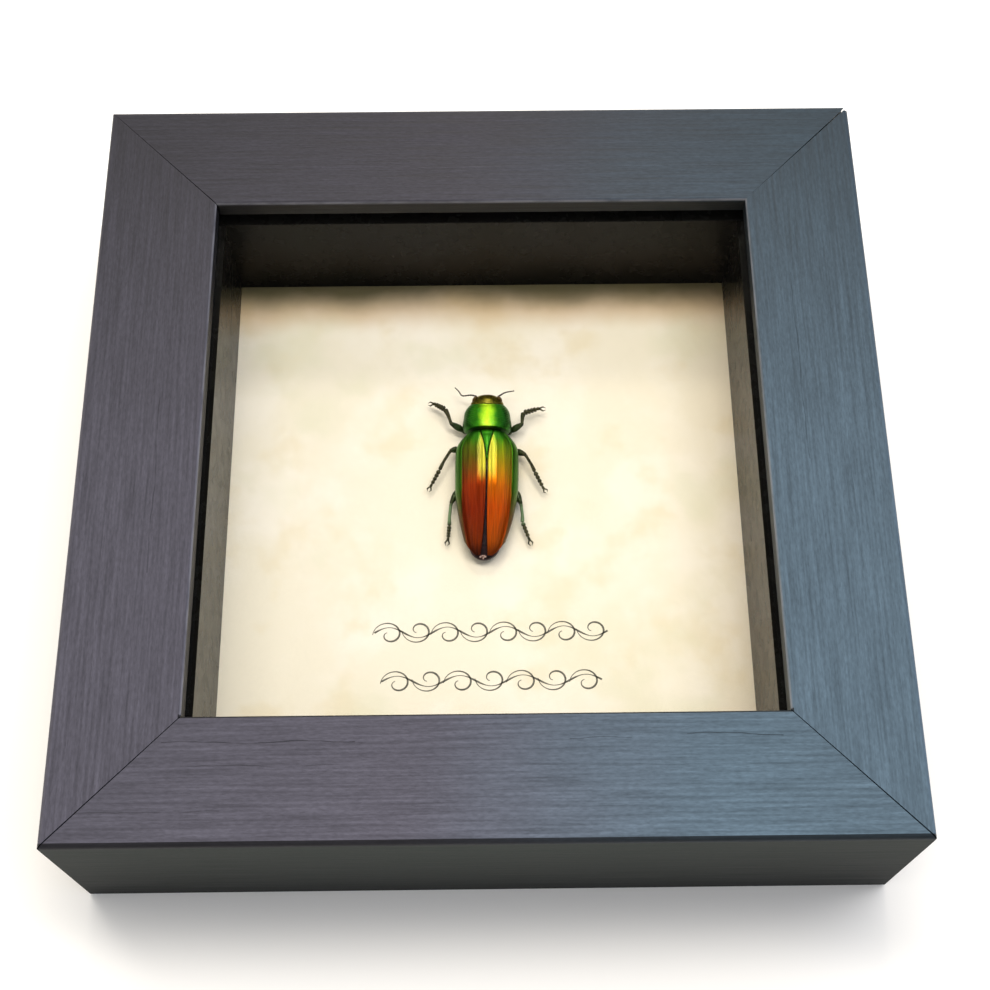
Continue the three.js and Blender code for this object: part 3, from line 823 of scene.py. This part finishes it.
def setBall(bm, verts, radii, turn, middle):
    bmesh.ops.scale(bm, vec=radii, verts=verts)
    bmesh.ops.rotate(bm, cent=(0, 0, 0), matrix=Matrix.Rotation(turn, 3, "Z"), verts=verts)
    bmesh.ops.translate(bm, vec=middle, verts=verts)


def makeEye(name, hand, material):
    eye = head["eye"]
    x, y, z = eye["place"]
    bm = bmesh.new()
    bmesh.ops.create_uvsphere(bm, u_segments=28, v_segments=18, radius=1.0)
    setBall(bm, bm.verts, eye["radii"], hand * eye["turn"], (hand * x, y, z))
    finishPiece(bm, name, material)


tissueLumps = [  # middle, size and turn of each
    (-0.85, -10.55, 2.4, 0.27, 0.4), (-0.3, -10.5, 2.4, 0.25, -0.6),
    (-0.5, -10.7, 2.15, 0.2, 1.3),
]


# A shred of dried tissue at the tail's tip: pale, pinkish and crumpled.
def makeTissue(name, lumps):
    material, add, shader, place = startMaterial("driedTissue", True, Roughness=0.6)
    folds = add("TexNoise", {"Vector": place, "Scale": 3.0, "Detail": 3.0})
    tone = add("ValToRGB", [folds], [(0.3, "#54342e"), (0.65, "#c4a59c")])
    finishShader(shader, tone, None, folds, 0.6)
    bm = bmesh.new()
    for x, y, z, radius, turn in lumps:
        made = bmesh.ops.create_icosphere(bm, subdivisions=4, radius=1.0)["verts"]
        for vertex in made:
            ridges = math.sin(7 * vertex.co.x + turn) * math.sin(6 * vertex.co.y - turn)
            vertex.co *= radius * (1 + 0.14 * ridges)
        setBall(bm, made, (1.4, 0.8, 0.6), turn, (x, y, z))
    finishPiece(bm, name, material)


greenShell = makeGreenShell()
copperShell = makePlainShell("copperChitin", "#46420a", "#8a7c20", 0.25, 0.9, 0.3)
darkShell = makePlainShell("darkChitin", "#1a0e12", "#3a2028", 0.6, 0.5, 0.36)
eyeShell = makePlainShell("eyeChitin", "#46340e", "#664c18", 0.12, 0.5, 0.3)
legShell = makePlainShell("legChitin", "#15160a", "#575334", 0.3, 0.55, 0.32, {
    "thighSpan": (5.2, 6.5), "thighTone": "#1c3a0c",
    # The paler shin tone is a painted highlight
    "shin": -2.6, "shinSpan": (1.2, 2.0), "shinHighlight": "#84a076",
})
finishPiece(ringBody(thorax, 96, 60, thoraxRelief), "prothorax_shell", greenShell,
            ["prothorax"])
finishPiece(ringBody(abdomen, 56, 110, abdomenRelief), "abdomen_rings", darkShell,
            ["abdomen"])
finishPiece(ringBody(head, 56, 20), "head_capsule", copperShell, ["head"])
makeEye("eye_left", -1, eyeShell)
makeEye("eye_right", 1, eyeShell)
makeScutellum("scutellum_plate", greenShell)
makeTissue("tail_tissue", tissueLumps)
print("beetle: head, green plates and hind body made")

# Beetle: legs and antennae

# Each leg is five places: root, knee, ankle, end of the foot, and the claws' tip.
legPlaces = {
    "front_left": [(-4.1, 13.4, 1.4), (-6.35, 14.5, 2.1), (-7.35, 17.2, 2.1),
                   (-9.3, 18.45, 1.8), (-10.4, 18.5, 1.5)],
    "front_right": [(4.1, 13.3, 1.4), (6.15, 14.4, 2.1), (6.35, 16.55, 2.1),
                    (9.0, 17.55, 1.8), (10.3, 17.6, 1.5)],
    "middle_left": [(-4.75, 9.9, 1.3), (-6.3, 9.2, 2.1), (-8.1, 5.7, 1.8),
                    (-9.6, 2.75, 1.4), (-10.05, 1.8, 1.2)],
    "middle_right": [(4.75, 9.6, 1.3), (6.6, 8.5, 2.1), (8.2, 5.4, 1.8),
                     (9.7, 2.4, 1.4), (10.3, 1.7, 1.2)],
    "hind_left": [(-4.85, 2.2, 1.2), (-6.05, -0.6, 1.9), (-6.3, -4.6, 1.5),
                  (-6.5, -7.0, 1.2), (-6.75, -8.1, 1.0)],
    "hind_right": [(4.85, 2.2, 1.2), (5.8, -0.7, 1.9), (6.05, -3.9, 1.5),
                   (7.2, -6.9, 1.1), (7.6, -8.0, 0.9)],
}
legSize = {                 # half thicknesses, and what shapes the joints
    "hip": 0.45,
    "femur": 0.62,
    "knee": 0.31,
    "tibia": 0.26,
    "ankle": 0.33,
    "lobe": 0.42,
    "claw": 0.17,
    "stout": 1.35,          # how much thicker a front leg's shin and foot are
    "flat": 0.8,            # how deep a joint is beside its width
    "footFlat": 0.7,
    "lobes": 5,
    "shinBow": 0.12,        # how far the shin bows outward
    "clawBow": 0.32,
    "clawSpread": 0.12,     # for each millimetre of its length
}
antennaPlaces = {
    "left": [(-1.75, 19.3, 2.9), (-2.85, 19.75, 2.6), (-4.4, 19.7, 2.4), (-4.95, 20.6, 2.3),
             (-5.65, 21.4, 2.2)],
    "right": [(1.75, 19.2, 2.9), (2.4, 19.8, 2.6), (3.1, 20.3, 2.5), (4.7, 20.8, 2.2)],
}
antennaSize = {"radius": 0.15, "joints": 11}


# One joint of a limb: a profile of (share of its length, half thickness), closed on its line, is
# spun, flattened, bowed sideways and laid between two places.
def addJoint(bm, start, end, profile, flat=1.0, bow=0.0, sides=16):
    start, end = Vector(start), Vector(end)
    length = (end - start).length
    made = spinLine(bm, [(radius, 0, share * length) for share, radius in profile], (0, 0, 1),
                    sides)
    for vertex in made:
        vertex.co.x += bow * math.sin(math.pi * vertex.co.z / length)
        vertex.co.y *= flat
    turn = (end - start).to_track_quat("Z", "Y").to_matrix().to_4x4()
    bmesh.ops.transform(bm, matrix=Matrix.Translation(start) @ turn, verts=made)


def makeLeg(name, places, material):
    root, knee, ankle, footEnd, clawTip = [Vector(place) for place in places]
    size = legSize
    bm = bmesh.new()
    inward = (root - knee).normalized()
    addJoint(bm, root + inward * 0.9, root - inward * 0.35,
             [(0, 0), (0.05, 0.2), (0.3, size["hip"]), (0.7, size["hip"]), (0.95, 0.25), (1, 0)])
    addJoint(bm, root + inward * 0.1, knee - inward * 0.12, [
        (0, 0), (0.02, 0.2), (0.1, size["femur"] * 0.7), (0.35, size["femur"]),
        (0.6, size["femur"] * 0.9), (0.85, size["knee"] * 1.25), (0.96, size["knee"]),
        (1, 0.1), (1, 0),
    ], size["flat"])
    stout = size["stout"] if "front" in name else 1.0
    addJoint(bm, knee + inward * 0.08, ankle, [
        (0, 0), (0.01, 0.12), (0.05, size["knee"]), (0.15, size["tibia"]),
        (0.6, size["tibia"] * stout), (0.9, size["ankle"] * stout),
        (0.97, size["ankle"] * stout), (1, 0.14), (1, 0),
    ], size["flat"], math.copysign(size["shinBow"], knee.x))
    for i in range(size["lobes"]):
        start = ankle.lerp(footEnd, i / size["lobes"])
        end = ankle.lerp(footEnd, (i + 1.15) / size["lobes"])
        last = i == size["lobes"] - 1
        wide = size["lobe"] * stout * (0.6 if last else mix(1.0, 0.8, i / 4))
        addJoint(bm, start, end, [
            (0, 0), (0.02, 0.08), (0.25, wide * 0.75), (0.7, wide), (0.88, wide * 0.9),
            (1, wide * 0.4), (1, 0),
        ], size["footFlat"], sides=12)
    run = clawTip - footEnd
    across = Vector((-run.y, run.x, 0)) * size["clawSpread"]
    for hand in (-1, 1):
        addJoint(bm, footEnd, clawTip + across * hand, [
            (0, 0), (0.02, size["claw"]), (0.6, size["claw"] * 0.75), (1, 0.015), (1, 0),
        ], bow=hand * size["clawBow"], sides=8)
    finishPiece(bm, name + "_joints", material, [name])


def makeAntenna(name, places, material):
    line = lineThrough(places)
    bm = bmesh.new()
    count = antennaSize["joints"]
    for i in range(count):
        thick = antennaSize["radius"] * mix(1.15, 0.75, i / count)
        addJoint(bm, line(i / count), line((i + 1.08) / count), [
            (0, 0), (0.03, thick * 0.5), (0.6, thick * 0.9), (0.9, thick), (1, thick * 0.5),
            (1, 0),
        ], sides=10)
    finishPiece(bm, name + "_joints", material, [name])


for side, places in legPlaces.items():
    makeLeg(f"leg_{side}", places, legShell)
for side, places in antennaPlaces.items():
    makeAntenna(f"antenna_{side}", places, darkShell)
print("beetle: legs and antennae made")

# Pen flourishes where a caption goes

flourish = {
    "rows": [(-23.0, 38.5, 8), (-31.4, 36.0, 7)],   # middle line, length and number of curls
    "centre": 0.9,
    "wave": 0.9,
    "curl": 2.7,            # radius where a curl starts
    "inner": 0.18,          # and what share of it is left where it ends
    "wound": 2.3,           # half turns of a curl
    "flat": 0.9,            # its height beside its width
    "drop": 0.35,           # how far its middle lies from the row's
    "thin": 0.12,
    "thick": 0.32,
    "film": 0.012,          # thickness of the ink
    "steps": (40, 48),      # points along each wave and each curl
}


# A pen stroke on the paper: a line of points is drawn out into a ribbon of varying width.
def addStroke(bm, placeAt, widthAt, steps):
    points = [placeAt(i / steps) for i in range(steps + 1)]
    verts, normals = [], []
    for i, (x, y) in enumerate(points):
        before, after = points[max(i - 1, 0)], points[min(i + 1, steps)]
        run = Vector((after[0] - before[0], after[1] - before[1])).normalized()
        normals.append(Vector((-run.y, run.x, 0)) * widthAt(i / steps))
        verts.append(bm.verts.new(Vector((x, y, 0)) - normals[-1] / 2))
    edges = [bm.edges.new(pair) for pair in zip(verts, verts[1:])]
    drawn = bmesh.ops.extrude_edge_only(bm, edges=edges)["geom"]
    moved = [item for item in drawn if isinstance(item, bmesh.types.BMVert)]
    for vertex in moved:
        i = min(range(len(verts)), key=lambda k: (verts[k].co - vertex.co).length)
        vertex.co += normals[i]


def makeFlourish(name, middle, length, curls, material):
    bm = bmesh.new()
    size = flourish
    left = size["centre"] - length / 2

    def swell(t):
        return mix(size["thin"], size["thick"], math.sin(math.pi * t) ** 2)

    def vine(t):
        return (left + t * length, middle + size["wave"] * math.sin(math.pi * curls * t))

    def vineSwell(t):
        return mix(size["thin"], size["thick"], abs(math.cos(math.pi * curls * t)) ** 3)

    waveSteps, curlSteps = size["steps"]
    addStroke(bm, vine, vineSwell, waveSteps * curls)
    for i in range(curls):
        hand = 1 if i % 2 == 0 else -1
        centre = left + (i + 0.5) / curls * length

        def curl(t, centre=centre, hand=hand):
            radius = size["curl"] * mix(1.0, size["inner"], t)
            angle = math.pi * (1 - size["wound"] * t)
            return (centre + radius * math.cos(angle),
                    middle - hand * size["drop"] + hand * radius * math.sin(angle) * size["flat"])

        addStroke(bm, curl, swell, curlSteps)
    bmesh.ops.recalc_face_normals(bm, faces=bm.faces)
    turnUp(bm)
    place = Matrix.Translation((0, 0, paperTop + 2 * size["film"] * mm)) @ Matrix.Scale(mm, 4)
    piece = finishPiece(bm, name, material, place=place, closed=False)
    thicken(piece, size["film"])


# Brown-black writing ink, dry and a little uneven.
def makeInk():
    material, add, shader, place = startMaterial("writingInk", Roughness=0.7)
    pool = add("TexNoise", {"Vector": place, "Scale": 1.5, "Detail": 2.0})
    tone = add("ValToRGB", [pool], [(0.3, "#5a574f"), (0.7, "#7a766c")])
    finishShader(shader, tone)
    return material


ink = makeInk()
for number, (middle, length, curls) in enumerate(flourish["rows"], 1):
    makeFlourish(f"ink_flourish_{number}", middle, length, curls, ink)
print("paper: flourishes drawn")

# Pins of the hanger

pin = {
    "radius": 1.3,
    "height": 0.5,
    "fromMiddle": 20.2,
    "sheet": 0.7,           # thickness of the hanger
    "air": 0.02,            # between the two
    # From the crown to the foot: share of the radius, and of the height
    "dome": [(0, 0.0), (0.5, 0.03), (0.8, 0.12), (0.95, 0.25), (1, 0.45), (1, 1), (0, 1)],
}


def makePin(name, hand):
    low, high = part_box("hanger")
    bm = bmesh.new()
    spinLine(bm, [(share * pin["radius"], 0, down * pin["height"])
                  for share, down in pin["dome"]], (0, 0, 1), 24)
    middle = (low + high) / 2
    back = high.z / mm - pin["sheet"] - pin["height"] - pin["air"]
    bmesh.ops.translate(bm, vec=(hand * pin["fromMiddle"], middle.y / mm, back), verts=bm.verts)
    finishPiece(bm, name, zincSteel, place=Matrix.Scale(mm, 4))


makePin("hanger_pin_left", -1)
makePin("hanger_pin_right", 1)
print("back: pins made")

# Camera, lights and floor

camera = {
    "place": (0.000177, -0.112635, 0.262182),
    "turn": (24.286, -0.073, -0.673),
    "lens": 58.997,
    "sensor": 36,
    "clip": (0.01, 20),
}
studio = {
    "tent": 1.2,             # brightness of the white tent
    "front": 0.5,            # and of its front, behind the camera
    "roof": 0.6,             # how much of it is left overhead
    "gap": (0, 0.45, 0.89),  # middle of the dark gap that the glass mirrors
    "gapReach": (21, 13),    # degrees from there to its soft edge's start and end
    "gapLeft": 0.04,         # how much light is left in it
    "tint": ("#fffaf2", "#c8dcff"),  # of the tent, at the left and at the right
    "floor": "#fbfbfa",
    "floorDrop": 0.00005,    # how far it lies below the frame
}
# Place, size, watts and tint of each softbox
softboxes = {
    "softbox_behind": ((0.02, 0.595, 0.69), (0.26, 0.11), 1.6, "#fff6e6"),
    "softbox_overhead": ((0.06, 0.175, 0.88), (1.0, 0.18), 7.0, "#fff8ee"),
}


def makeCamera():
    data = bpy.data.cameras.new("camera")
    data.lens = camera["lens"]
    data.sensor_width = camera["sensor"]
    data.clip_start, data.clip_end = camera["clip"]
    item = addObject("camera", data)
    item.location = camera["place"]
    item.rotation_euler = [math.radians(angle) for angle in camera["turn"]]
    scene.camera = item


# A white light tent: bright behind and at the sides, dimmer overhead and in front, bluish to the
# right, with a dark gap where the glass would mirror it.
def makeTent():
    world = bpy.data.worlds.new("tent")
    world.use_nodes = True
    scene.world = world
    tree = world.node_tree
    tree.nodes.clear()
    add = partial(addNode, tree)
    toward = add("TexCoord").outputs["Generated"]
    axes = add("SeparateXYZ", [toward]).outputs
    close = add("VectorMath", [toward, Vector(studio["gap"]).normalized()],
                operation="DOT_PRODUCT")
    shut = add("MapRange", [
        close, *[math.cos(math.radians(reach)) for reach in studio["gapReach"]],
        1.0, studio["gapLeft"],
    ], **eased)
    strength = add("MapRange", [axes["Y"], -0.75, -0.1, studio["front"], studio["tent"]], **eased)
    high = add("MapRange", [axes["Z"], 0.6, 0.85, 1.0, studio["roof"]], **eased)
    for factor in (shut, high):
        strength = add("Math", [strength, factor], operation="MULTIPLY")
    blue = add("MapRange", [axes["X"], 0.1, 0.9, 0.0, 1.0], **eased)
    left, right = studio["tint"]
    tint = add("Mix", {0: blue, 6: colour(left), 7: colour(right)}, data_type="RGBA")
    light = add("Background", {"Color": tint, "Strength": strength})
    tree.links.new(outputOf(light), add("OutputWorld").inputs["Surface"])


def makeSoftbox(name, place, size, power, tint):
    data = bpy.data.lights.new(name, "AREA")
    data.shape = "RECTANGLE"
    data.size, data.size_y = size
    data.energy = power
    data.color = colour(tint)[:3]
    item = addObject(name, data)
    item.location = place
    item.rotation_euler = (-Vector(place)).to_track_quat("-Z", "Y").to_euler()
    return item


def makeFloor():
    material = startMaterial("paleFloor", Roughness=0.9, Base_Color=colour(studio["floor"]))[0]
    bm = bmesh.new()
    bmesh.ops.create_grid(bm, x_segments=1, y_segments=1, size=3)
    floor = addMesh("floor", bm, material)
    floor.location.z = -studio["floorDrop"]


makeCamera()
makeTent()
boxes = {name: makeSoftbox(name, *values) for name, values in softboxes.items()}
# This one would show in the glass and in the paint as a bright bar
boxes["softbox_overhead"].visible_glossy = False
makeFloor()
scene.view_settings.view_transform = "Standard"
print("studio: camera, lights and floor set")
